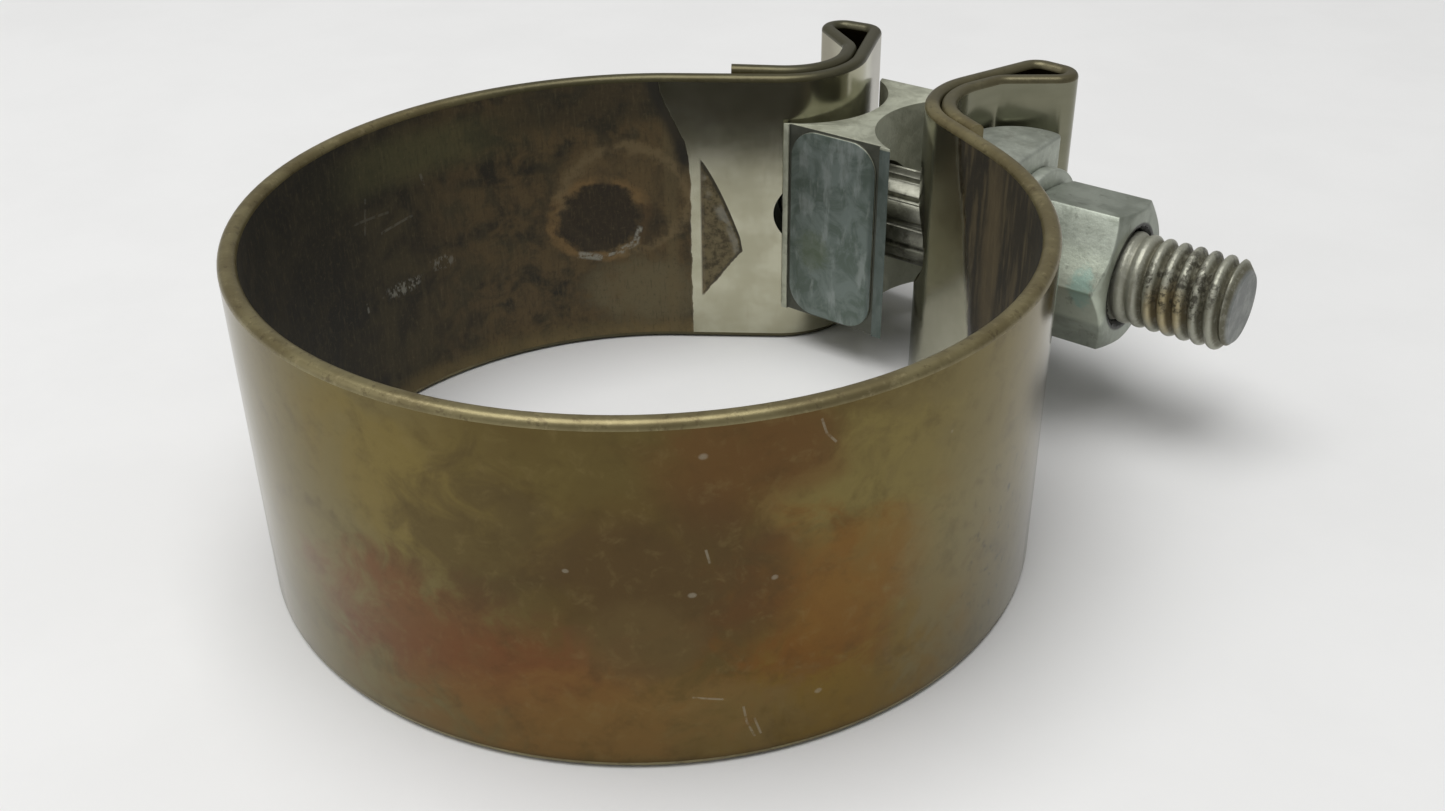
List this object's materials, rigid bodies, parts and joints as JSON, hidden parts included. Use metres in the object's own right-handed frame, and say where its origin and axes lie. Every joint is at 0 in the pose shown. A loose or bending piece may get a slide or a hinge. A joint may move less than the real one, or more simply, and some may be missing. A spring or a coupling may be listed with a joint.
{
  "type": "pipe repair clamp",
  "caption": "Single-bolt flat-band pipe clamp with looped ears, D-section bars, waisted spacer block and long hex nut.",
  "frame": {"origin": "on the pipe axis, half way along the strap's width", "axes": "+Z along the pipe axis, +Y from the pipe axis through the gap between the ears, +X from the bolt head towards the nut"},
  "size_m": [0.0765, 0.0932, 0.0318],
  "materials": {
    "strap_steel": "stainless strap, heat-tinted bronze outside and sooty brown inside, with scratches",
    "bolt_steel": "zinc-plated steel dulled by heat, dark grime in the threads",
    "bar_steel": "dull blue-grey zinc plating with grime at the edges",
    "spacer_steel": "mottled blue-grey zinc plating, brown grime in the sunk corners",
    "nut_steel": "pale zinc plating with a faint green-white bloom"
  },
  "bodies": {
    "head_half": {"band_head_side": "strap_steel"},
    "nut_half": {"band_nut_side": "strap_steel"},
    "bolt_assembly": {"bolt": "bolt_steel", "head_bar": "bar_steel"},
    "spacer_block": {"spacer": "spacer_steel"},
    "nut_carriage": {"nut_bar": "bar_steel", "washer": "nut_steel"},
    "hex_nut": {"nut": "nut_steel"}
  },
  "joints": [
    {"name": "nut_draw", "type": "slide", "parent": "bolt_assembly", "child": "nut_carriage", "axis": [-1, 0, 0], "range_m": [-0.00635, 0.00317]},
    {"name": "band_close", "type": "hinge", "parent": "head_half", "child": "nut_half", "pos_m": [0, -0.03535, 0], "axis": [0, 0, 1], "range_deg": [-4.65, 2.34]},
    {"name": "bolt_tilt", "type": "hinge", "parent": "head_half", "child": "bolt_assembly", "pos_m": [-0.0154, 0.0432, 0], "axis": [0, 0, 1], "range_deg": [-2.29, 1.15]},
    {"name": "spacer_slide", "type": "slide", "parent": "bolt_assembly", "child": "spacer_block", "axis": [1, 0, 0], "range_m": [-0.0002, 0.0001]},
    {"name": "nut_turn", "type": "hinge", "parent": "nut_carriage", "child": "hex_nut", "pos_m": [0.0184, 0.0432, 0], "axis": [-1, 0, 0], "range_deg": [-1440.5, 720.5]}
  ],
  "couplings": [
    {"joint": "band_close", "follows": "nut_draw", "rad_per_m": 12.731},
    {"joint": "bolt_tilt", "follows": "nut_draw", "rad_per_m": 6.23},
    {"joint": "spacer_slide", "follows": "nut_draw", "ratio": 0.03},
    {"joint": "nut_turn", "follows": "nut_draw", "rad_per_m": 3957.9}
  ]
}
